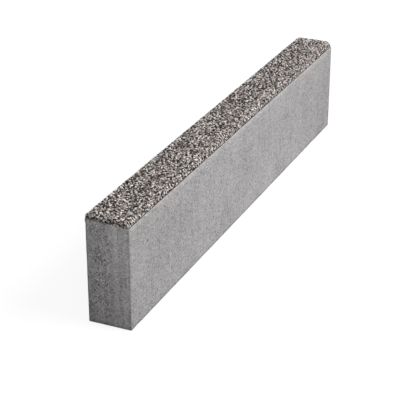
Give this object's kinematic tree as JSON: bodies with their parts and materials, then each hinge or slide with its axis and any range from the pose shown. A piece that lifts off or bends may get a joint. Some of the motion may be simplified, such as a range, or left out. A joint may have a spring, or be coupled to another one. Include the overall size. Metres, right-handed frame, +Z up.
{
  "type": "concrete kerb stone",
  "caption": "Long upright kerb stone of pressed concrete with an exposed granite facing on its top, a rounded front top edge and lightly chamfered arrises, for edging paths and beds.",
  "frame": {"origin": "middle of the bed face, on the ground under the middle of the stone", "axes": "+X along the length, +Z up, -Y towards the front face, the one below the rounded top edge"},
  "size_m": [1, 0.08, 0.2],
  "materials": {
    "concrete": "smooth pressed grey concrete with fine pores",
    "granite": "washed facing concrete with exposed dark and pale granite chips"
  },
  "bodies": {
    "root": {"concrete_body": "concrete", "granite_facing": "granite"}
  },
  "joints": []
}
